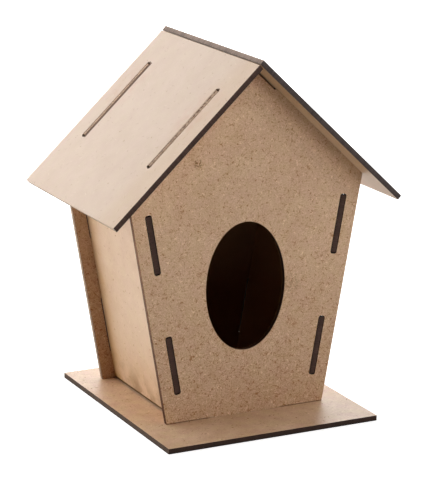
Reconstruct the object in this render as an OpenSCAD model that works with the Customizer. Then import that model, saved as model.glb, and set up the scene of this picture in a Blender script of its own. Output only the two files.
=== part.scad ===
/* [Board] */
// Thickness of every board
board = 3; // [2.5:0.1:3.5]
// Radius of a slot's rounded corners
slot_corner = 1.3; // [0.5:0.1:1.4]

/* [Base] */
// Width of the base board, left to right
base_w = 128; // [120:1:160]
// Depth of the base board, front to back
base_d = 143; // [130:1:180]
// Bare strip of base in front of the front wall
front_margin = 35.4; // [20:0.1:38]

/* [Walls] */
// Width of the front and back walls at the foot
foot_w = 97; // [90:0.5:110]
// Height of the walls from the base up to the eaves
wall_h = 130; // [115:1:150]
// Outward lean of the side edges, in degrees from upright
lean = 10; // [6:0.5:14]
// Distance from the front wall's outer face to the back wall's outer face
body_d = 89.8; // [75:0.1:92]
// Depth of the step that holds the peak of a gable off the roof
peak_gap = 0.9; // [0.2:0.1:1.2]
// Length of that step, down the slope from the peak
peak_gap_l = 22; // [8:1:23]

/* [Entrance] */
// Width of the oval entrance
hole_w = 48.6; // [30:0.1:54]
// Height of the oval entrance
hole_h = 72.9; // [40:0.1:80]
// Distance of the oval's centre right of the wall's middle (left is negative)
hole_x = -0.8; // [-2:0.1:2]
// Height of the oval's centre above the base board
hole_z = 73.4; // [60:0.1:80]
// Flats round the oval
hole_flats = 96; // [48:12:144]

/* [Side boards] */
// Distance from a wall's side edge in to the side board's outer face
side_inset = 8; // [6:0.5:12]
// Length of one tab, up the slope
side_tab_l = 32.7; // [20:0.1:34]
// Centre of the lower tab, up the slope from the foot
lower_tab_s = 32.2; // [28:0.1:40]
// Centre of the upper tab, up the slope from the foot
upper_tab_s = 102.4; // [85:0.1:105]
// Free length at each end of a side tab, in its slot
side_end_gap = 0.8; // [0.3:0.1:1]
// Free width beside a side tab, in its slot
side_slot_gap = 0.9; // [0.3:0.1:1]
// Clearance between the side board's top and the roof
side_top_gap = 0.4; // [0.2:0.1:3]

/* [Roof] */
// Slope of both roof boards, in degrees
pitch = 43.3; // [38:0.1:48]
// Overhang past the front wall's outer face
front_over = 16.2; // [8:0.1:25]
// Overhang past the back wall's outer face
back_over = 15.3; // [8:0.1:25]
// Overhang past the wall's corner, down the slope
eave_over = 19; // [10:0.5:25]
// Length of one gable tab, down the slope
roof_tab_l = 54.4; // [30:0.1:55]
// Start of a gable tab, down the slope from the peak
roof_tab_u = 23.2; // [23:0.1:30]
// Free length at each end of a gable tab, in its slot
roof_end_gap = 1.4; // [0.3:0.1:2]
// Free width beside a gable tab, in its slot
roof_slot_gap = 0.8; // [0.3:0.1:1]
// Slack by which the roof sits forward on its tabs
roof_slack = 0.2; // [0:0.05:0.2]
// Gap in the seam between the two roof boards
seam_gap = 0.45; // [0.05:0.05:0.6]

/* [Foot tabs] */
// Length of the tab that holds a wall in the base
foot_tab_l = 50; // [30:1:60]
// Amount by which that tab stops short of the underside
foot_tab_short = 0.3; // [0.1:0.1:1]
// Free length at each end of a foot tab, in its slot
foot_end_gap = 0.5; // [0.3:0.1:1]
// Free width beside a foot tab, in its slot
foot_slot_gap = 0.4; // [0.2:0.1:0.8]

/* [Hidden] */
// length by which a cutter passes each face
past = 1;
corner_fn = 32;
end_gap = 0.1;
fibreboard = [0.72, 0.58, 0.44];
pale_board = [0.88, 0.80, 0.72];

foot = foot_w / 2;
eave = foot + wall_h * tan(lean);
peak_h = wall_h + eave * tan(pitch);
peak_z = board + peak_h;
slope_l = eave / cos(pitch);
front_y = -base_d / 2 + front_margin;
back_y = front_y + body_d;
roof_y = front_y - front_over;
roof_d = front_over + body_d + back_over;
// the lapped board's square end just clears the underside of the other
seam_u = (max(0, board * cos(2 * pitch)) + seam_gap) / sin(2 * pitch);
// slope length at which a side board's outer corner would touch the roof
touch_s = ((eave - foot + side_inset * cos(lean)) * sin(pitch)
           + (wall_h - side_inset * sin(lean)) * cos(pitch)) / cos(pitch - lean);
side_h = touch_s - side_top_gap;

// a slot with rounded corners, flat, centred, its length along Y
module slot_shape(w, l) {
    r = min(slot_corner, w / 2 - 0.05);
    square([w - 2 * r, l], center = true);
    square([w, l - 2 * r], center = true);
    for (sx = [-1, 1], sy = [-1, 1])
        translate([sx * (w / 2 - r), sy * (l / 2 - r)])
            circle(r, $fn = corner_fn);
}

// places children on a wall's leaning edge: s up the slope, inset in from the edge
module on_lean(s, inset) {
    translate([foot, 0])
        rotate(-lean)
            translate([-inset, s])
                children();
}

module both_sides() {
    children();
    mirror([1, 0]) children();
}

// a point on a gable: u down the right-hand slope from the peak, h out from it
function on_slope(u, h) =
    [0, peak_h] + u * [cos(pitch), -sin(pitch)] + h * [sin(pitch), cos(pitch)];

// the gabled outline: half a foot tab, foot, leaning edge, gable tab, and a
// peak that stands off the roof, then the same points mirrored
module wall_outline() {
    tab_end = roof_tab_u + roof_tab_l;
    half = [
        [foot_tab_l / 2, foot_tab_short - board],
        [foot_tab_l / 2, 0],
        [foot, 0],
        [eave, wall_h],
        on_slope(tab_end, 0),
        on_slope(tab_end, board),
        on_slope(roof_tab_u, board),
        on_slope(roof_tab_u, 0),
        on_slope(peak_gap_l, 0),
        on_slope(peak_gap_l, -peak_gap)
    ];
    peak = [0, peak_h - peak_gap / cos(pitch)];
    other = [for (i = [len(half) - 1:-1:0]) [-half[i][0], half[i][1]]];
    polygon(concat(half, [peak], other));
}

module side_slots() {
    both_sides()
        for (s = [lower_tab_s, upper_tab_s])
            on_lean(s, side_inset + board / 2)
                slot_shape(board + side_slot_gap, side_tab_l + 2 * side_end_gap);
}

module entrance() {
    translate([hole_x, hole_z])
        polygon([for (i = [0:hole_flats - 1])
            [hole_w / 2 * cos(i * 360 / hole_flats), hole_h / 2 * sin(i * 360 / hole_flats)]]);
}

// stands a flat wall shape up on the base, its outer face at y
module stand(y) {
    translate([0, y + board, board])
        rotate([90, 0, 0])
            linear_extrude(board)
                children();
}

module wall_shape() {
    difference() {
        wall_outline();
        side_slots();
    }
}

// the floor board, with a slot for each wall's foot tab
module base() {
    color(pale_board)
        difference() {
            translate([-base_w / 2, -base_d / 2, 0])
                cube([base_w, base_d, board]);
            for (y = [front_y + board / 2, back_y - board / 2])
                translate([0, y, -past])
                    linear_extrude(board + 2 * past)
                        rotate(90)
                            slot_shape(board + foot_slot_gap, foot_tab_l + 2 * foot_end_gap);
        }
}

module front_wall() {
    color(fibreboard)
        stand(front_y)
            difference() {
                wall_shape();
                entrance();
            }
}

module back_wall() {
    color(fibreboard)
        stand(back_y - board)
            wall_shape();
}

// a leaning board between the walls; its tabs run through to their outer faces
module side_board() {
    translate([foot, front_y, board])
        rotate([0, lean, 0])
            translate([-side_inset - board, 0, 0]) {
                translate([0, board + end_gap, 0])
                    cube([board, body_d - 2 * (board + end_gap), side_h]);
                for (s = [lower_tab_s, upper_tab_s])
                    translate([0, 0, s - side_tab_l / 2])
                        cube([board, body_d, side_tab_l]);
            }
}

module left_side_wall() {
    color(fibreboard)
        mirror([1, 0, 0])
            side_board();
}

module right_side_wall() {
    color(fibreboard)
        side_board();
}

// a sloping board from u_start (down the slope from the peak) to the eave
module roof_board(u_start) {
    translate([0, roof_y, peak_z])
        rotate([0, pitch, 0])
            difference() {
                translate([u_start, 0, 0])
                    cube([slope_l + eave_over - u_start, roof_d, board]);
                for (y = [front_y + board / 2, back_y - board / 2])
                    translate([roof_tab_u + roof_tab_l / 2, y - roof_slack - roof_y, -past])
                        linear_extrude(board + 2 * past)
                            rotate(90)
                                slot_shape(board + roof_slot_gap, roof_tab_l + 2 * roof_end_gap);
            }
}

module left_roof_panel() {
    color(pale_board)
        mirror([1, 0, 0])
            roof_board(seam_u);
}

// laps over the left board's upper edge by one board's thickness
module right_roof_panel() {
    color(pale_board)
        roof_board(-board);
}

base();
front_wall();
back_wall();
left_side_wall();
right_side_wall();
left_roof_panel();
right_roof_panel();
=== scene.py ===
# %% [markdown]
# # A laser-cut nest box
# The nest box is made of seven flat pieces of 3 mm fibreboard that slot together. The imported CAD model
# holds every board at its real size, so this lesson is about light and finish: what raw fibreboard looks
# like, what a laser does to its edges, and how a small pale thing is lit on white.

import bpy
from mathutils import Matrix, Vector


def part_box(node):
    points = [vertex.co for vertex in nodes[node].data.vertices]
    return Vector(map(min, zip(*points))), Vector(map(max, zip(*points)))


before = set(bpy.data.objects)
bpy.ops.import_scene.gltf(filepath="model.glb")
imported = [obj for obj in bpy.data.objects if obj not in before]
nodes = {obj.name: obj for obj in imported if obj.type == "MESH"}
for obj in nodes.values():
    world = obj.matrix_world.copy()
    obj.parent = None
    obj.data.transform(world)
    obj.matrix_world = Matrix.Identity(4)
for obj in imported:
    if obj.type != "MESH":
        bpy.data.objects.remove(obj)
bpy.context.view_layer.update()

from math import cos, pi, radians, sin, tan

import bpy
from mathutils import Matrix, Vector

print("boards:", ", ".join(sorted(nodes)))

# %% [markdown]
# ## The driving sizes
# Everything that a finish has to line up with comes from a few sizes. The box of each board gives where it
# is. The lean of the walls and the pitch of the roof are the two angles the boards were drawn with. A mask
# that stops exactly on a face flickers there, so masks reach past a face by a little slack.

# %% Sizes
BOARD = 0.003
HALF = BOARD / 2
SLACK = 0.0002
LEAN = radians(10)
PITCH = radians(43.3)

front_low, front_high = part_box("front_wall")
back_low, back_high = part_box("back_wall")
side_low, side_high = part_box("right_side_wall")
roof_low, roof_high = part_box("right_roof_panel")
# the roof's underside meets at the peak: the lapped corner of the right board is one board further up
peak_z = roof_high.z - BOARD * (sin(PITCH) + cos(PITCH))
side_foot = side_low.z + BOARD * sin(LEAN)
side_outer = side_low.x + BOARD * cos(LEAN)
room_mid = (front_high.y + back_low.y) / 2
room_half = (back_low.y - front_high.y) / 2
print("peak of the gables at", round(1000 * peak_z, 1), "mm")
print("room in mm:", round(2000 * room_half, 1), "deep,", round(2000 * side_low.x, 1), "wide at the foot")

# %% [markdown]
# ## The camera
# A small product is shot with a long lens from a little above, so that upright edges stay upright. The
# camera is given as a direction and a distance from a point inside the box, which is easier to adjust than
# a place. Its three axes are worked out once and put into the camera's matrix.

# %% Camera
AIM = Vector((-0.0027, 0.0, 0.0940))
DISTANCE = 1.253
AZIMUTH = radians(-26.63)
ELEVATION = radians(14.88)
ROLL = radians(0.51)
SENSOR = 36.0
FOCAL = 167.7

back = Vector((sin(AZIMUTH) * cos(ELEVATION), -cos(AZIMUTH) * cos(ELEVATION), sin(ELEVATION)))
level = Vector((cos(AZIMUTH), sin(AZIMUTH), 0.0))
upright = back.cross(level)
right = cos(ROLL) * level + sin(ROLL) * upright
up = cos(ROLL) * upright - sin(ROLL) * level

camera_data = bpy.data.cameras.new("camera")
camera_data.lens = FOCAL
camera_data.sensor_width = SENSOR
camera_data.clip_end = 100
camera = bpy.data.objects.new("camera", camera_data)
bpy.context.scene.collection.objects.link(camera)
turned = Matrix((right, up, back)).transposed().to_4x4()
camera.matrix_world = Matrix.Translation(AIM + DISTANCE * back) @ turned
bpy.context.scene.camera = camera
bpy.context.scene.view_settings.view_transform = "Standard"
print("camera at", [round(v, 3) for v in camera.matrix_world.translation])

# %% [markdown]
# ## One helper for every shader node
# A node tree in code is mostly "make a node, set it, plug it in". This helper does all three: it adds a
# node, lays it out in rows so that the tree can be read in the editor, and gives each input either a plain
# value or another node's output.

# %% Adding a node
NODE_STEP_X = 180
NODE_STEP_Y = -220
NODES_IN_ROW = 12


def add(tree, kind, inputs=None, **settings):
    """Adds a node; each input is a value or another node's output."""
    node = tree.nodes.new(kind)
    row, column = divmod(len(tree.nodes), NODES_IN_ROW)
    node.location = (NODE_STEP_X * column, NODE_STEP_Y * row)
    for name, value in settings.items():
        setattr(node, name, value)
    for name, value in (inputs or {}).items():
        socket = node.inputs[name]
        if isinstance(value, bpy.types.NodeSocket):
            tree.links.new(value, socket)
        else:
            socket.default_value = value
    return node


# %% [markdown]
# ## Sums with nodes
# A finish is arithmetic on numbers that change over the surface. Each function below adds one Math node and
# returns its output, so a formula can be written from the inside out. A mask is a number from 0 to 1:
# multiplying two masks means "and", and the larger of two means "or".

# %% Math helpers
def math(tree, operation, a, b=0.0, c=0.0, clamp=False):
    return add(tree, "ShaderNodeMath", {0: a, 1: b, 2: c}, operation=operation, use_clamp=clamp).outputs[0]


def times(tree, first, *others):
    """Multiplies two or more numbers or masks."""
    for other in others:
        first = math(tree, "MULTIPLY", first, other)
    return first


def plus(tree, a, b):
    return math(tree, "ADD", a, b)


def minus(tree, a, b):
    return math(tree, "SUBTRACT", a, b)


def size_of(tree, a):
    """The number without its sign."""
    return math(tree, "ABSOLUTE", a)


def below(tree, a, limit):
    return math(tree, "LESS_THAN", a, limit)


def above(tree, a, limit):
    return math(tree, "GREATER_THAN", a, limit)


def either(tree, a, b):
    """The larger of two numbers; with masks, one or the other."""
    return math(tree, "MAXIMUM", a, b)


def weighted_sum(tree, terms):
    """Adds up numbers times their weights; what weighs nothing gets no node."""
    total = 0.0
    for value, weight in terms:
        if weight != 0.0:
            total = math(tree, "MULTIPLY_ADD", value, weight, total)
    return total


# %% [markdown]
# ## Steps, colours and noise
# A ramp turns a distance into a mask with a soft edge. A mix lays one colour over another. Noise is what
# keeps a surface from looking painted: its values gather round one half, so a swing stretches the part round
# the middle to run from -1 to 1, ready to be added to a tone.

# %% Ramp, colour and noise helpers
def ramp(tree, value, low, high, to_low=0.0, to_high=1.0):
    """A smooth step from one value to another, held at both ends."""
    limits = {"Value": value, "From Min": low, "From Max": high, "To Min": to_low, "To Max": to_high}
    return add(tree, "ShaderNodeMapRange", limits, interpolation_type="SMOOTHSTEP").outputs["Result"]


def fade(tree, value, full, gone):
    """One up to the first value, then down to zero at the second."""
    return ramp(tree, value, full, gone, 1.0, 0.0)


def mix(tree, factor, a, b, blend="MIX"):
    """Mixes two colours."""
    return add(tree, "ShaderNodeMix", {0: factor, 6: a, 7: b}, data_type="RGBA", blend_type=blend).outputs[2]


def vector(tree, operation, a, b=(0.0, 0.0, 0.0)):
    return add(tree, "ShaderNodeVectorMath", {0: a, 1: b}, operation=operation).outputs["Vector"]


def scaled(tree, a, amount):
    """A colour or a direction times one number."""
    return add(tree, "ShaderNodeVectorMath", {0: a, "Scale": amount}, operation="SCALE").outputs["Vector"]


def dot(tree, a, b):
    return add(tree, "ShaderNodeVectorMath", {0: a, 1: b}, operation="DOT_PRODUCT").outputs["Value"]


def parts_of(tree, a):
    """The X, Y and Z of a vector."""
    return add(tree, "ShaderNodeSeparateXYZ", {"Vector": a}).outputs


def noise(tree, where, scale, detail=2.0, roughness=0.5):
    inputs = {"Vector": where, "Scale": scale, "Detail": detail, "Roughness": roughness}
    return add(tree, "ShaderNodeTexNoise", inputs).outputs["Fac"]


def swing(tree, where, scale, detail=2.0, roughness=0.5, spread=0.2):
    """Noise that runs from -1 to 1; it reaches them at spread from the middle."""
    return ramp(tree, noise(tree, where, scale, detail, roughness), 0.5 - spread, 0.5 + spread, -1.0, 1.0)


# %% [markdown]
# ## Node groups
# An effect that several boards share is built once, as a node group with named sockets, and placed in each
# material with its own values. Most sockets carry a number, so only the vectors and the colours are listed.

# %% Group helpers
SOCKET_KINDS = {
    "Vector": "NodeSocketVector",
    "Color": "NodeSocketColor",
    "Board": "NodeSocketColor",
    "Char": "NodeSocketColor",
    "Border": "NodeSocketColor",
}


def new_group(name, inputs, outputs):
    """A node group with named sockets, and its input and output nodes."""
    tree = bpy.data.node_groups.new(name, "ShaderNodeTree")
    for way, labels in (("INPUT", inputs), ("OUTPUT", outputs)):
        for label in labels:
            kind = SOCKET_KINDS.get(label, "NodeSocketFloat")
            tree.interface.new_socket(label, in_out=way, socket_type=kind)
    return tree, add(tree, "NodeGroupInput").outputs, add(tree, "NodeGroupOutput").inputs


def give(tree, out, results):
    """Plugs the results into the group's output."""
    for label, value in results.items():
        tree.links.new(value, out[label])
    print("group", tree.name, "now has", len(tree.nodes), "nodes")


def use(tree, group, **inputs):
    """Places a group in another tree."""
    return add(tree, "ShaderNodeGroup", inputs, node_tree=group).outputs


# %% [markdown]
# ## Loose fibres
# Raw fibreboard is pressed from wood fibres. On its face lie short curled hairs, a little darker or paler
# than the board. A noise texture is a landscape, and the line where it crosses its middle height is a curl,
# as a contour line is on a map. A second noise breaks those curls into short hairs.

# %% Curled hairs group
curls, inp, out = new_group("curled_hairs", ("Vector", "Scale", "Width"), ("Mask",))
landscape = noise(curls, inp["Vector"], inp["Scale"], 1.0)
breaks = noise(curls, vector(curls, "ADD", inp["Vector"], (0.31, 0.17, 0.0)), inp["Scale"], 1.0)
from_contour = size_of(curls, minus(curls, landscape, 0.5))
hairline = math(curls, "SUBTRACT", 1.0, math(curls, "DIVIDE", from_contour, inp["Width"]), clamp=True)
give(curls, out, {"Mask": times(curls, hairline, ramp(curls, breaks, 0.5, 0.6))})

# %% [markdown]
# ## Single flecks
# A few longer or darker fibres and dots stand alone. Each cell of a Voronoi texture gets at most one: the
# cell's centre gives its place, and the cell's random colour gives its angle, its bend and its strength.
# Across and along are distances in widths and lengths of the fleck, so its outline is where they make one.

# %% Flecks group
FLECK_INPUTS = ("Vector", "Cells", "Length", "Width", "Share", "Bend")
flecks, inp, out = new_group("single_flecks", FLECK_INPUTS, ("Mask",))
place = vector(flecks, "MULTIPLY", scaled(flecks, inp["Vector"], inp["Cells"]), (1.0, 1.0, 0.0))
cell = add(flecks, "ShaderNodeTexVoronoi", {"Vector": place, "Scale": 1.0}, voronoi_dimensions="2D").outputs
chance = add(flecks, "ShaderNodeSeparateColor", {"Color": cell["Color"]}).outputs
offset = vector(flecks, "SUBTRACT", place, cell["Position"])
angle = times(flecks, chance["Red"], 2 * pi)
turned = add(flecks, "ShaderNodeVectorRotate", {"Vector": offset, "Angle": angle}, rotation_type="Z_AXIS")
part = parts_of(flecks, turned.outputs["Vector"])
curve = times(flecks, minus(flecks, chance["Blue"], 0.5), inp["Bend"])
sag = times(flecks, part["X"], part["X"], curve)
across = math(flecks, "DIVIDE", minus(flecks, part["Y"], sag), inp["Width"])
along = math(flecks, "DIVIDE", part["X"], inp["Length"])
reach = plus(flecks, times(flecks, across, across), times(flecks, along, along))
fleck = fade(flecks, math(flecks, "SQRT", reach), 0.4, 1.0)
there = below(flecks, chance["Green"], inp["Share"])
strength = math(flecks, "MULTIPLY_ADD", chance["Blue"], 0.6, 0.4)
give(flecks, out, {"Mask": times(flecks, fleck, there, strength)})

# %% [markdown]
# ## The board's face: fibres and marks
# The face is built in one group, over two cells. This one makes the fine things: a mottle, a grain and three
# layers of curls for the fibres, and hairs and dots for the marks. Noise scales are features per metre, so
# 1300 is a grain of about 0.8 mm. Layers with the same scale are shifted, so that they don't coincide.

# %% Board face group, fine layers
FACE_INPUTS = ("Vector", "Board", "Clouds", "Streaks", "Fibres", "Flecks", "Stain", "Warm")
face, inp, out = new_group("board_face", FACE_INPUTS, ("Color", "Height"))
here = inp["Vector"]


def curl_layer(tree, where, scale, width):
    return use(tree, curls, Vector=where, Scale=scale, Width=width)["Mask"]


def fleck_layer(tree, where, cells, length, width, share, bend):
    values = {"Cells": cells, "Length": length, "Width": width, "Share": share, "Bend": bend}
    return use(tree, flecks, Vector=where, **values)["Mask"]


def shifted(tree, where, x, y):
    return vector(tree, "ADD", where, (x, y, 0.0))


fibres = weighted_sum(face, (
    (swing(face, here, 420.0, 2.0, 0.6, 0.25), 0.045),
    (swing(face, here, 1300.0, 2.0, 0.7, 0.25), 0.22),
    (curl_layer(face, here, 560.0, 0.035), -0.75),
    (curl_layer(face, shifted(face, here, 0.7, 0.4), 300.0, 0.03), -0.48),
    (curl_layer(face, shifted(face, here, 0.2, 0.9), 400.0, 0.028), 0.55),
))
dark_hairs = fleck_layer(face, here, 190.0, 0.3, 0.06, 0.3, 3.0)
pale_hairs = fleck_layer(face, shifted(face, here, 0.5, 0.1), 170.0, 0.28, 0.05, 0.3, 3.0)
dots = fleck_layer(face, here, 85.0, 0.07, 0.05, 0.35, 1.5)
marks = weighted_sum(face, ((dark_hairs, -0.6), (pale_hairs, 0.4), (dots, -0.8)))
print("group", face.name, "has", len(face.nodes), "nodes so far")

# %% [markdown]
# ## The board's face: tone and colour
# Everything on the face makes the same brown a little darker or paler, so it is all added up as one tone.
# Where the board gets darker it also gets redder, which the tint does: blue falls most and red least. A cloud
# of its own moves the hue between pinkish and yellowish. What depends on the place comes in as a stain:
# marks, scorch, and painted shade such as that under the eaves and the roof's ridge. What only warms or pales
# the colour comes in by the Warm input, among it a painted sheen and painted shade in corners.

# %% Board face group, tone and colour
TINT = (0.6, 0.9, 1.17)
STAIN_AND_SHADE_TINT = (0.88, 0.97, 1.05)
WARM_TINT = (0.3, 0.6, 1.2)
PINK = (0.0, -0.375, 0.3)
DARKEST = -0.75
PALEST = 0.6
ONE = (1.0, 1.0, 1.0)

streaks = swing(face, vector(face, "MULTIPLY", here, (0.25, 1.0, 1.0)), 230.0, 3.0)
clouds = weighted_sum(face, ((swing(face, here, 28.0, 3.0), 1.0), (swing(face, here, 110.0), 0.7)))
tone = weighted_sum(face, (
    (clouds, inp["Clouds"]),
    (streaks, inp["Streaks"]),
    (fibres, inp["Fibres"]),
    (marks, inp["Flecks"]),
))
tone = either(face, math(face, "MINIMUM", tone, PALEST), DARKEST)
hue = times(face, swing(face, shifted(face, here, 3.1, 1.3), 110.0, 3.0, 0.6), inp["Clouds"])
own_change = vector(face, "ADD", scaled(face, TINT, tone), scaled(face, PINK, hue))
clean = vector(face, "MULTIPLY", inp["Board"], vector(face, "ADD", own_change, ONE))
stained_and_shaded = scaled(face, STAIN_AND_SHADE_TINT, inp["Stain"])
place_change = vector(face, "ADD", stained_and_shaded, scaled(face, WARM_TINT, inp["Warm"]))
give(face, out, {
    "Color": vector(face, "MULTIPLY", clean, vector(face, "ADD", place_change, ONE)),
    "Height": math(face, "MULTIPLY_ADD", marks, 0.5, fibres),
})

# %% [markdown]
# ## The laser-cut edge
# A laser burns its way through, so every cut edge is charred brown, with fine lines through the thickness
# where the beam pulsed. Noise that is squeezed along the edge and stretched through the thickness draws
# those lines on every edge at once. The beam comes in at the outer face and leaves at the inner one, where
# it smoulders longer: the char fades towards the outer face, and the Border colour lies along the inner one.

# %% Cut edge group
THROUGH = 0.06
CHAR_FADE = 0.18
RAGGED = 1.6

cut, inp, out = new_group("laser_cut_edge", ("Vector", "Char", "Border", "Reach", "Lines"), ("Color",))
lines_at = vector(cut, "MULTIPLY", inp["Vector"], (1.0, 1.0, THROUGH))
lines = swing(cut, lines_at, 1500.0, 2.0, 0.7)
bands = swing(cut, lines_at, 190.0)
pulse = times(cut, weighted_sum(cut, ((lines, 0.6), (bands, 0.4))), inp["Lines"])
depth = parts_of(cut, inp["Vector"])["Z"]
fading = math(cut, "MULTIPLY_ADD", depth, CHAR_FADE / HALF, 1.0)
charred = scaled(cut, inp["Char"], plus(cut, pulse, fading))
crumble = minus(cut, noise(cut, inp["Vector"], 900.0, 1.0), 0.5)
from_inner = plus(cut, HALF, depth)
ragged = math(cut, "MULTIPLY_ADD", crumble, times(cut, inp["Reach"], RAGGED), from_inner)
border = fade(cut, math(cut, "DIVIDE", ragged, inp["Reach"]), 0.5, 1.1)
give(cut, out, {"Color": mix(cut, border, charred, inp["Border"])})

# %% [markdown]
# ## Where the finish changes
# Some of the finish depends on where on the box a point is, so the next groups start from the same four
# measures: the point itself, its distance from the middle of the box, its height over the roof's underside
# and its distance, front to back, from the middle of the room.

# %% Shared measures
def measures(tree, where):
    xyz = parts_of(tree, where)
    out_x = size_of(tree, xyz["X"])
    slope_height = math(tree, "MULTIPLY_ADD", out_x, sin(PITCH), times(tree, xyz["Z"], cos(PITCH)))
    roof_height = minus(tree, slope_height, peak_z * cos(PITCH))
    from_mid = minus(tree, xyz["Y"], room_mid)
    return xyz, out_x, roof_height, from_mid


# %% [markdown]
# ## Places on the walls: the room and the slots
# The first mask is the room inside, with the strip of base under the leaning side walls, where the room's
# shade is painted on. Gap is the inside of the side walls' slots, where their shade is painted on too. Rim is
# the gable's outer cut, as against the cut of a slot. Each is a few limits multiplied together: between the
# walls, inside the sides, under the roof, above the base.

# %% Wall places group, room and slots
WALL_PLACES = ("Room_shade", "Gap", "Rim", "Low", "Foot", "Corner", "Seam", "Eave", "Sheen_patch", "Marks")
walls, inp, out = new_group("wall_places", ("Vector",), WALL_PLACES)
xyz, out_x, roof_height, from_mid = measures(walls, inp["Vector"])
spread = times(walls, minus(walls, xyz["Z"], side_foot), tan(LEAN))
past_inner = minus(walls, out_x, plus(walls, spread, side_low.x))
past_outer = minus(walls, out_x, plus(walls, spread, side_outer))
off_mid = size_of(walls, from_mid)
above_base = minus(walls, xyz["Z"], BOARD)
between = below(walls, off_mid, room_half + SLACK)
in_room = times(walls, between, below(walls, past_inner, SLACK))
on_base = below(walls, either(walls, past_outer, above_base), SLACK)
under_side = times(walls, on_base, below(walls, past_outer, -SLACK), between)
covered = times(walls, below(walls, roof_height, SLACK), above(walls, above_base, -SLACK))
slot_width = math(walls, "COMPARE", past_inner, HALF, HALF + 4 * SLACK)
slot_depth = math(walls, "COMPARE", off_mid, room_half + HALF, HALF - SLACK / 4)
give(walls, out, {
    # painted shade over the room inside and the strip of base under the side walls
    "Room_shade": times(walls, either(walls, in_room, under_side), covered),
    # painted shade inside the side walls' slots
    "Gap": times(walls, slot_width, slot_depth, covered),
    "Rim": above(walls, past_outer, BOARD),
})

# %% [markdown]
# ## Places on the walls: low parts, painted shade and painted sheen
# Low and Foot are the lowest parts of the walls, darker on some boards, Foot in patches, and Corner is where
# a side wall meets the back wall, darker there as painted shade; a slow noise moves their edges up and down.
# Seam is the shadow line where the wall stands on the base, left out over the tab in the middle. The last
# mask is the back left corner of the base, paler there as a painted sheen.

# %% Wall places group, low parts, painted shade and sheen
LOW_REACH = 0.1
FOOT_REACH = 0.022
CORNER_REACH = 0.016
WOBBLE = 0.006

wobble = math(walls, "MULTIPLY_ADD", noise(walls, inp["Vector"], 120.0, 3.0), 2 * WOBBLE, -WOBBLE)
up_wall = plus(walls, above_base, wobble)
foot_patches = ramp(walls, noise(walls, inp["Vector"], 75.0, 3.0), 0.4, 0.62)
from_back = minus(walls, back_low.y, xyz["Y"])
to_corner = plus(walls, either(walls, past_outer, 0.0), either(walls, from_back, 0.0))
beside_tab = ramp(walls, out_x, 0.018, 0.026)
rearmost = ramp(walls, xyz["Y"], 0.03, 0.068)
leftmost = ramp(walls, xyz["X"], -0.03, -0.045)
give(walls, out, {
    "Low": fade(walls, up_wall, 0.0, LOW_REACH),
    "Foot": times(walls, fade(walls, up_wall, 0.0, FOOT_REACH), foot_patches),
    # painted shade in the corner where a side wall meets the back wall
    "Corner": fade(walls, plus(walls, to_corner, wobble), 0.0, CORNER_REACH),
    "Seam": times(walls, fade(walls, above_base, 0.0003, 0.0008), beside_tab),
    # painted sheen: the back left corner of the base is made paler
    "Sheen_patch": times(walls, rearmost, leftmost),
})

# %% [markdown]
# ## Places on the walls: shade and two marks
# Eave is the strip right under the roof, which the roof keeps from the light. It is narrow on the right, with
# a paler strip below it where the roof's underside throws light back, and wide and faint on the left. Marks
# are two spots that this front board happens to have: a tight dark cluster of bark fibres near the left
# slope, and a faint wide one to the right of the entrance. Curls and grain break both up into hairs.

# %% Wall places group, shade and marks
BOUNCE = -0.36
LEFT_EAVE = 0.33
# each mark: left to right, height, reach, strength
FRONT_MARKS = ((-0.0303, 0.1478, 0.0034, 1.0), (0.0268, 0.0742, 0.0085, 0.42))
SOLID_SHARE = 0.4

under_roof = times(walls, roof_height, -1.0)
shade = ramp(walls, under_roof, 0.0005, 0.0075, 1.0, BOUNCE)
shade = plus(walls, shade, ramp(walls, under_roof, 0.009, 0.014, 0.0, -BOUNCE))
left_shade = ramp(walls, under_roof, 0.008, 0.02, LEFT_EAVE, 0.0)
on_right = above(walls, xyz["X"], 0.0)
eave = math(walls, "MULTIPLY_ADD", minus(walls, shade, left_shade), on_right, left_shade)

hairs = curl_layer(walls, inp["Vector"], 500.0, 0.12)
bark = either(walls, hairs, ramp(walls, noise(walls, inp["Vector"], 1100.0, 1.0), 0.5, 0.6))
spots = 0.0
for x, z, spot_reach, spot_strength in FRONT_MARKS:
    from_spot = vector(walls, "SUBTRACT", inp["Vector"], (x, 0.0, z))
    from_spot = vector(walls, "MULTIPLY", from_spot, (1.0, 0.0, 1.0))
    away = add(walls, "ShaderNodeVectorMath", {0: from_spot}, operation="LENGTH").outputs["Value"]
    spot = fade(walls, away, SOLID_SHARE * spot_reach, spot_reach)
    spots = math(walls, "MULTIPLY_ADD", spot, spot_strength, spots)
give(walls, out, {"Eave": eave, "Marks": times(walls, spots, bark)})

# %% [markdown]
# ## Places on the roof: the slots
# Tip is the end of a gable's tab, which shows in a roof slot, and Across runs over its thickness, from -1 at
# the front to 1 at the back. Slot is the cut of the slot around it. Lip is a thin line along the front of the
# rear slot, and a round spot at the ends of both slots, where the beam pierced the board: laser scorch on the
# face, made darker as painted shade of the slot's gap and ends. The slot's middle, its reach and the
# piercings' distance from the middle are measured level, outwards from the middle of the box.

# %% Roof places group, slots
SLOT_MID = 0.0388
SLOT_REACH = 0.0208
PIERCE_AT = 0.0198
PIERCE_OFF = 0.0007

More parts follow.
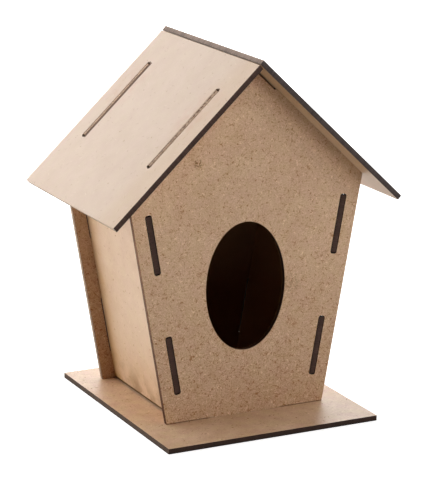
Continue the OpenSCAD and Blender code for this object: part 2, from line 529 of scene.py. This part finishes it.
ROOF_PLACES = ("Tip", "Across", "Slot", "Lip", "Smudge", "Peak", "Front")
roof, inp, out = new_group("roof_places", ("Vector",), ROOF_PLACES)
xyz, out_x, roof_height, from_mid = measures(roof, inp["Vector"])
beyond = minus(roof, size_of(roof, from_mid), room_half + HALF)
rearward = times(roof, beyond, math(roof, "SIGN", from_mid))
from_wall = size_of(roof, beyond)
on_roof = above(roof, roof_height, HALF)
slot_run = math(roof, "COMPARE", out_x, SLOT_MID, SLOT_REACH)
line = times(roof, ramp(roof, rearward, -0.0036, -0.0031), below(roof, rearward, -HALF))
line = times(roof, line, slot_run, above(roof, from_mid, 0.0))
from_end = minus(roof, size_of(roof, minus(roof, out_x, SLOT_MID)), PIERCE_AT)
from_end = math(roof, "DIVIDE", from_end, cos(PITCH))
off_front = plus(roof, rearward, PIERCE_OFF)
from_pierce = plus(roof, times(roof, from_end, from_end), times(roof, off_front, off_front))
pierced = fade(roof, math(roof, "SQRT", from_pierce), 0.0015, 0.0021)
give(roof, out, {
    "Tip": above(roof, roof_height, SLACK),
    "Across": math(roof, "DIVIDE", rearward, HALF),
    "Slot": times(roof, below(roof, from_wall, BOARD), slot_run),
    "Lip": times(roof, either(roof, line, pierced), on_roof),
})

# %% [markdown]
# ## Places on the roof: hands and light
# Smudge is the few pinkish finger marks beside both slots, where the roof is held while it is pressed on.
# Peak is near the ridge, and Front is near the front of the roof.

# %% Roof places group, smudges and regions
GRIP_AT = 0.031

beside_slot = fade(roof, from_wall, 0.006, 0.015)
near_grip = fade(roof, size_of(roof, minus(roof, out_x, GRIP_AT)), 0.003, 0.018)
patchy = ramp(roof, noise(roof, inp["Vector"], 130.0, 3.0, 0.6), 0.3, 0.62)
give(roof, out, {
    "Smudge": times(roof, beside_slot, near_grip, patchy, on_roof),
    "Peak": fade(roof, out_x, 0.0, 0.07),
    "Front": fade(roof, minus(roof, xyz["Y"], roof_low.y), 0.008, 0.03),
})

# %% [markdown]
# ## A board's own directions
# All the boards are the same stuff, so one function makes each board's material, out of the pieces in the
# next cells. This first one turns Object coordinates into the board's own frame, two directions in the face
# and one through the thickness, so the fibres lie in the face whatever way the board leans. The normal then
# tells a face from a cut edge. A Bevel node rounds the normal near an edge only, so how far it turns from
# the true normal shows where the heat browned the rim.

# %% Directions and rim
ON_SIDE = 0.7
RIM_RADIUS = 0.0005


def board_directions(tree, coords, middle, along, out_way):
    """The point in the board's frame, and masks for its faces, its inner face and its end cuts."""
    turn = Matrix((along, out_way.cross(along), out_way)).transposed()
    placing = {"Vector": coords["Object"], "Location": middle, "Rotation": turn.to_euler()}
    flat = add(tree, "ShaderNodeMapping", placing, vector_type="TEXTURE").outputs["Vector"]
    facing = dot(tree, coords["Normal"], out_way)
    is_face = above(tree, size_of(tree, facing), ON_SIDE)
    is_inner = below(tree, facing, -ON_SIDE)
    is_end = above(tree, size_of(tree, dot(tree, coords["Normal"], along)), ON_SIDE)
    return flat, is_face, is_inner, is_end


def browned_rim(tree):
    rounded = add(tree, "ShaderNodeBevel", {"Radius": RIM_RADIUS}, samples=8).outputs["Normal"]
    flatness = dot(tree, rounded, add(tree, "ShaderNodeNewGeometry").outputs["True Normal"])
    return fade(tree, flatness, 0.75, 0.97)


# %% [markdown]
# ## The face of one board
# The face group gets the board's own values from its look, and the stain and the warmth are sums of the
# places, each times how much this board has of it; both carry painted shade, and the warmth a painted sheen
# too.
# The finger marks go on last, as a faint pink glaze.

# %% Face finish
FINGER_PINK = (0.97, 0.875, 0.85, 1.0)
MARK_WARMTH = 0.3


def face_finish(tree, flat, is_inner, wall, on_top, look):
    """The colour and the height of the board's faces."""
    rim = browned_rim(tree) if look["rim"] else 0.0
    # painted shade on the roof's underside near the ridge
    peak_inside = times(tree, on_top["Peak"], is_inner) if look["peak"] else 0.0
    stain_and_shade = weighted_sum(tree, (
        (rim, look["rim"]),
        (wall["Low"], look["low"]),
        (wall["Foot"], look["foot"]),
        (wall["Eave"], look["eave"]),
        (wall["Marks"], look["marks"]),
        (peak_inside, look["peak"]),
    ))
    warm = weighted_sum(tree, (
        (wall["Corner"], look["corner"]),
        (wall["Low"], look["warm low"]),
        (wall["Marks"], MARK_WARMTH * look["marks"]),
        (wall["Sheen_patch"], look["sheen patch"]),
        (on_top["Front"], look["front"]),
    ))
    rougher = math(tree, "MULTIPLY_ADD", wall["Low"], look["rough low"], 1.0)
    values = {label: look[label.lower()] for label in ("Clouds", "Streaks", "Flecks")}
    values["Fibres"] = times(tree, rougher, look["fibres"])
    values["Board"] = mix(tree, is_inner, look["outer"], look["inner"])
    board = use(tree, face, Vector=flat, Stain=stain_and_shade, Warm=warm, **values)
    color = board["Color"]
    if look["smudged"]:
        color = mix(tree, on_top["Smudge"], color, FINGER_PINK, "MULTIPLY")
    return color, board["Height"]


# %% [markdown]
# ## The tip of a gable's tab
# In the roof's slots the ends of the gables' tabs show. The beam left them pale, with dark dashes where it
# stalled near the ridge, and one or two thin lines along them. All of it runs along the slot, so it is drawn
# with the Across measure.

# %% Tip finish
TIP_BURN = (0.12, 0.04, 0.01, 1.0)
TIP_PALE = (0.66, 0.49, 0.36, 1.0)


def tip_finish(tree, where, on_top, look):
    """The colour of a tab's end where it shows in a roof slot."""
    across = on_top["Across"]
    off_middle = size_of(tree, across)
    plain = mix(tree, ramp(tree, across, look["pale from"], 1.0), look["tip"], TIP_PALE)
    dashes = ramp(tree, noise(tree, where, 650.0), 0.44, 0.56, 0.35, 1.4)
    dashes = times(tree, dashes, on_top["Peak"], look["tip burn"], fade(tree, off_middle, 0.1, 0.9))
    off_line = size_of(tree, minus(tree, off_middle, look["tip line"]))
    up_slope = ramp(tree, on_top["Peak"], 0.2, 0.5, 1.0, look["lines up"])
    thin_line = times(tree, fade(tree, off_line, 0.1, 0.35), look["tip lines"], up_slope)
    burn = math(tree, "MINIMUM", plus(tree, dashes, thin_line), 1.0)
    return mix(tree, burn, plain, TIP_BURN)


# %% [markdown]
# ## The cut edges of one board
# The ends of a board and its long sides are cut at different speeds, so each has its own char. A roof's slots
# have theirs too, and the cuts at their ends are painted nearly black, as painted shade. A gable keeps its
# side colour inside its slots, and its tips are laid over. Low on the walls the edge is darker.

# %% Edge finish
SLOT_CHAR = (0.40, 0.27, 0.18, 1.0)
# nearly black: laser scorch by the roof slots, also painted shade in the slots' gaps and ends and along the
# walls' foot
BURN_AND_SHADE_DARK = (0.10, 0.028, 0.004, 1.0)
EDGE_LOW_DARK = (0.045, 0.012, 0.003, 1.0)
BORDER_REACH = 0.0005


def edge_finish(tree, flat, is_end, wall, on_top, tip, look):
    """The colour of the board's cut edges; tip is a mask and a colour, or None."""
    char = mix(tree, is_end, look["side char"], look["end char"])
    border = look["border"]
    if look["slotted"]:
        # the slots' end cuts are painted nearly black, as painted shade
        char = mix(tree, on_top["Slot"], char, mix(tree, is_end, SLOT_CHAR, BURN_AND_SHADE_DARK))
    if tip:
        is_tip, tip_color = tip
        char = mix(tree, is_tip, char, tip_color)
        border = mix(tree, is_tip, mix(tree, is_end, look["side char"], border), tip_color)
    edge = use(tree, cut, Vector=flat, Char=char, Border=border, Reach=BORDER_REACH, Lines=look["lines"])
    return mix(tree, times(tree, wall["Low"], look["edge low"]), edge["Color"], EDGE_LOW_DARK)


# %% [markdown]
# ## The whole material
# Faces and edges come together here. Painted shade covers the room and makes the slots' insides nearly black,
# and a dark brown painted shade lies on the tabs' faces inside the roof slots. The scorched lines by the roof
# slots, darkened as painted shade of their gaps, and the painted shadow line at the walls' foot go over
# everything. Bare faces have the faint sheen of pressed board, which a thin rough coat gives; painted shade
# and char have none, because a sheen would turn them grey.

# %% Board material
# painted shade on the faces of the gables' tabs inside the roof slots
TAB_FACE_SHADE = (0.30, 0.16, 0.08, 1.0)
# painted shade of the room inside, and how fully it covers the room
ROOM_SHADE = (0.40, 0.21, 0.10, 1.0)
ROOM_SHADE_SHARE = 0.97
# painted shade inside the side walls' slots
GAP_SHADE = (0.02, 0.012, 0.008, 1.0)
EDGE_ROUGHNESS = 0.7
FACE_ROUGHNESS = 0.5
SHEEN = 0.45


def board_material(name, middle, along, out_way, look):
    """middle is a point halfway through the thickness, along and out_way are the board's own directions."""
    material = bpy.data.materials.new(name)
    material.use_nodes = True
    tree = material.node_tree
    tree.nodes.clear()
    coords = add(tree, "ShaderNodeTexCoord").outputs
    flat, is_face, is_inner, is_end = board_directions(tree, coords, middle, along, out_way)
    wall = use(tree, walls, Vector=coords["Object"])
    on_top = use(tree, roof, Vector=coords["Object"])

    color, height = face_finish(tree, flat, is_inner, wall, on_top, look)
    scorch_and_shade_lines = weighted_sum(tree, ((on_top["Lip"], look["lip"]), (wall["Seam"], look["seam"])))
    shade_and_scorch = either(tree, wall["Room_shade"], scorch_and_shade_lines)
    tip = None
    if look["gable"]:
        is_end = times(tree, is_end, wall["Rim"])
        tip = (on_top["Tip"], tip_finish(tree, coords["Object"], on_top, look))
        # painted shade: a dark brown on the tabs' faces inside the roof slots
        color = mix(tree, on_top["Tip"], color, TAB_FACE_SHADE)
        shade_and_scorch = either(tree, shade_and_scorch, on_top["Tip"])
    color = mix(tree, is_face, edge_finish(tree, flat, is_end, wall, on_top, tip, look), color)
    # painted shade over the room inside
    color = mix(tree, times(tree, wall["Room_shade"], ROOM_SHADE_SHARE), color, ROOM_SHADE)
    # painted shade inside the side walls' slots
    color = mix(tree, wall["Gap"], color, GAP_SHADE)
    # laser scorch and painted shade: the lines by the roof slots and the shadow line at the walls' foot
    color = mix(tree, scorch_and_shade_lines, color, BURN_AND_SHADE_DARK)

    relief = times(tree, is_face, height)
    bump = add(tree, "ShaderNodeBump", {"Height": relief, "Strength": 0.3, "Distance": 0.0002})
    roughness = math(tree, "MULTIPLY_ADD", is_face, FACE_ROUGHNESS - EDGE_ROUGHNESS, EDGE_ROUGHNESS)
    bare = times(tree, is_face, minus(tree, 1.0, shade_and_scorch))
    shader = add(tree, "ShaderNodeBsdfPrincipled", {
        "Base Color": color,
        "Roughness": either(tree, roughness, either(tree, wall["Room_shade"], wall["Gap"])),
        "Specular IOR Level": 0.15,
        "Coat Weight": times(tree, bare, SHEEN),
        "Coat Roughness": 0.45,
        "Normal": bump.outputs["Normal"],
    })
    add(tree, "ShaderNodeOutputMaterial", {"Surface": shader.outputs["BSDF"]})
    return material


# %% [markdown]
# ## Each board's look
# The boards come from one sheet, but not with the same side up. The walls show the rough side, full of
# curls. The roof, the base and the side walls show the smooth side. The laser also ran at different speeds,
# so the long straight cuts of the base and roof are nearly black and the ridge is a paler brown. A look is a
# plain dictionary: each one starts from the plain board and changes what is different. Colours are what the
# board itself is, red, green and blue from 0 to 1; a place's number is negative where it darkens.

# %% Looks of the base and the walls
def rgb(r, g, b):
    return (r, g, b, 1.0)


PLAIN = {
    "clouds": 0.03, "streaks": 0.0, "fibres": 0.13, "flecks": 0.5, "rough low": 0.0, "lines": 0.35,
    "rim": -0.45, "low": 0.0, "warm low": 0.0, "foot": 0.0, "corner": 0.0, "eave": 0.0, "marks": 0.0,
    "sheen patch": 0.0, "peak": 0.0, "front": 0.0, "lip": 0.0, "seam": 0.0, "edge low": 0.0,
    "gable": False, "slotted": False, "smudged": False,
}
BASE = {
    **PLAIN,
    "outer": rgb(0.71, 0.485, 0.31), "inner": rgb(0.71, 0.485, 0.31),
    # the back left corner of the base is made paler, as a painted sheen
    "clouds": 0.085, "streaks": 0.02, "fibres": 0.5, "flecks": 1.4, "sheen patch": 0.09,
    "end char": rgb(0.066, 0.040, 0.026), "side char": rgb(0.032, 0.016, 0.011),
    "border": rgb(0.020, 0.012, 0.009),
}
FRONT_WALL = {
    **PLAIN,
    # the inner face is painted darker, as painted shade of the room; the back wall keeps it
    "outer": rgb(0.735, 0.475, 0.29), "inner": rgb(0.51, 0.32, 0.195),
    "clouds": 0.05, "fibres": 1.0, "flecks": 1.0, "rough low": 0.6, "lines": 0.4,
    "low": -0.17, "foot": -0.05, "eave": -0.27, "marks": -0.65, "seam": 0.75, "edge low": 0.8,
    "end char": rgb(0.19, 0.095, 0.05), "side char": rgb(0.030, 0.014, 0.008),
    "border": rgb(0.07, 0.035, 0.02),
    "gable": True, "tip": rgb(0.54, 0.38, 0.26), "pale from": 0.4,
    "tip burn": 1.2, "tip line": 0.6, "tip lines": 0.8, "lines up": 0.2,
}
BACK_WALL = {
    **FRONT_WALL,
    # corner: painted shade where the side wall meets the back wall
    "corner": -0.12, "eave": 0.0, "marks": 0.0, "seam": 0.0, "edge low": 0.3,
    "end char": rgb(0.40, 0.29, 0.20), "border": rgb(0.12, 0.07, 0.04),
    "tip": rgb(0.66, 0.45, 0.31), "pale from": 0.8, "tip burn": 0.0, "tip lines": 1.0, "lines up": 1.0,
}
SIDE = {
    **PLAIN,
    "outer": rgb(0.685, 0.482, 0.325), "inner": rgb(0.685, 0.482, 0.325),
    "clouds": 0.04, "fibres": 0.2, "flecks": 0.75,
    # corner: painted shade where the side wall meets the back wall
    "rim": -0.1, "low": -0.03, "warm low": -0.12, "foot": -0.45, "corner": -0.28,
    "end char": rgb(0.062, 0.033, 0.024), "side char": rgb(0.062, 0.033, 0.024),
    "border": rgb(0.05, 0.027, 0.02),
}
print("looks of the base and the walls: 4, from", len(PLAIN), "plain values")

# %% [markdown]
# ## The looks of the roof
# Both roof boards have their undersides painted paler, as painted light thrown up from the floor, and that
# paler underside throws light back on the walls. The end of the right board is the one that shows along the
# ridge, burnt darker than the left board's pale end at the eave, with a grey painted sheen added to its char.

# %% Looks of the roof
LEFT_ROOF = {
    **PLAIN,
    # the underside is painted paler, as painted light thrown up from the floor
    "outer": rgb(0.64, 0.462, 0.33), "inner": rgb(0.76, 0.59, 0.43),
    "fibres": 0.08, "flecks": 0.45, "lip": 1.0, "slotted": True, "smudged": True,
    # peak: painted shade on the underside near the ridge
    "rim": 0.0, "peak": -0.28, "front": -0.17,
    "end char": rgb(0.62, 0.475, 0.36), "side char": rgb(0.070, 0.038, 0.029),
    "border": rgb(0.06, 0.033, 0.026),
}
RIGHT_ROOF = {
    **LEFT_ROOF,
    # the ridge's char has a grey painted sheen added
    "end char": rgb(0.31, 0.225, 0.18), "side char": rgb(0.085, 0.063, 0.057),
    "border": rgb(0.085, 0.06, 0.05),
}
print("looks of the roof: 2")

# %% [markdown]
# ## Dressing the boards
# Each board is told by a point halfway through its thickness, the direction that runs along it and the
# direction out of its outer face. The left boards are the right ones with X turned round.

# %% Materials on the boards
X = Vector((1, 0, 0))
Y = Vector((0, 1, 0))
Z = Vector((0, 0, 1))
down_right = Vector((cos(PITCH), 0, -sin(PITCH)))
out_right = Vector((sin(PITCH), 0, cos(PITCH)))
up_right = Vector((sin(LEAN), 0, cos(LEAN)))
side_out = Vector((cos(LEAN), 0, -sin(LEAN)))


def flip(v):
    return Vector((-v.x, v.y, v.z))


front_mid = Vector((0, (front_low.y + front_high.y) / 2, BOARD))
back_mid = Vector((0, (back_low.y + back_high.y) / 2, BOARD))
side_mid = Vector((side_low.x, 0, side_foot)) + HALF * side_out
roof_mid = Vector((0, 0, peak_z)) + HALF * out_right
boards = {
    "base": (Vector((0, 0, HALF)), X, Z, BASE),
    "front_wall": (front_mid, X, -Y, FRONT_WALL),
    "back_wall": (back_mid, -X, Y, BACK_WALL),
    "right_side_wall": (side_mid, up_right, side_out, SIDE),
    "left_side_wall": (flip(side_mid), flip(up_right), flip(side_out), SIDE),
    "right_roof_panel": (roof_mid, down_right, out_right, RIGHT_ROOF),
    "left_roof_panel": (flip(roof_mid), flip(down_right), flip(out_right), LEFT_ROOF),
}
for name, (middle, along, out_way, look) in boards.items():
    nodes[name].data.materials.clear()
    nodes[name].data.materials.append(board_material(name + "_board", middle, along, out_way, look))
print("finished", len(boards), "boards")

# %% [markdown]
# ## Floor and backdrop
# The box stands on a white sweep. The floor is an ordinary matt white, so it throws light back up under the
# eaves and keeps the box's shadow. Seen straight or in a reflection it is lifted to paper white, and so is
# the world behind it; the light that reaches the box is not changed by that.

# %% Floor and world
FLOOR_HALF = 30.0
FLOOR_WHITE = 0.8


def seen_directly(tree):
    """One where the camera looks, straight or in a reflection, and zero for the light itself."""
    path = add(tree, "ShaderNodeLightPath").outputs
    return either(tree, path["Is Camera Ray"], path["Is Glossy Ray"])


bpy.ops.mesh.primitive_plane_add(size=2 * FLOOR_HALF, location=(0, 0, 0))
floor = bpy.context.object
floor.name = "floor"
paper = bpy.data.materials.new("white_sweep")
paper.use_nodes = True
tree = paper.node_tree
tree.nodes.clear()
matt = add(tree, "ShaderNodeBsdfDiffuse", {"Color": rgb(FLOOR_WHITE, FLOOR_WHITE, FLOOR_WHITE)})
lift = times(tree, seen_directly(tree), FLOOR_WHITE)
glow = add(tree, "ShaderNodeEmission", {"Color": rgb(1.0, 1.0, 1.0), "Strength": lift})
both = add(tree, "ShaderNodeAddShader", {0: matt.outputs[0], 1: glow.outputs[0]})
add(tree, "ShaderNodeOutputMaterial", {"Surface": both.outputs[0]})
floor.data.materials.append(paper)

world = bpy.data.worlds.new("studio")
bpy.context.scene.world = world
world.use_nodes = True
tree = world.node_tree
tree.nodes.clear()
sky = add(tree, "ShaderNodeBackground", {"Color": rgb(1.0, 1.0, 1.0), "Strength": seen_directly(tree)})
add(tree, "ShaderNodeOutputWorld", {"Surface": sky.outputs[0]})
print("floor is", 2 * FLOOR_HALF, "m wide, so its far edge is never seen")

# %% [markdown]
# ## Studio light
# Eight large square lamps stand in a ring, all at the same distance, so every shadow is soft. The ones behind
# the box skim over the roof and the base and give them their pale sheen. Two on the left light the side wall.
# The ones in front and on the right are weaker, because the front wall should stay a shade deeper. Each lamp
# is a direction, a width in metres and a power in watts.

# %% Lamps
LAMPS_AIM = Vector((0, 0, 0.1))
LAMPS_AWAY = 1.6
LAMPS = {
    "back_top": ((-0.23, 0.865, 0.447), 1.2, 13.6),
    "back_low": ((0.43, 0.865, 0.256), 1.0, 9.3),
    "back_right": ((0.8, 0.6, 0.2), 1.4, 3.4),
    "right_back": ((1.0, 0.15, 0.2), 1.2, 10.3),
    "left_back": ((-0.85, 0.45, 0.25), 1.2, 17.0),
    "left_low": ((-0.95, 0.3, 0.0), 1.0, 4.5),
    "front_right": ((0.6, -0.8, 0.3), 1.2, 10.2),
    "right": ((1.0, -0.2, 0.35), 1.2, 3.1),
}
for name, (toward, size, watts) in LAMPS.items():
    data = bpy.data.lights.new(name, "AREA")
    data.shape = "SQUARE"
    data.size = size
    data.energy = watts
    lamp = bpy.data.objects.new(name, data)
    toward = Vector(toward).normalized()
    lamp.location = LAMPS_AIM + LAMPS_AWAY * toward
    lamp.rotation_euler = (-toward).to_track_quat("-Z", "Y").to_euler()
    bpy.context.scene.collection.objects.link(lamp)
print("lamps:", ", ".join(LAMPS))
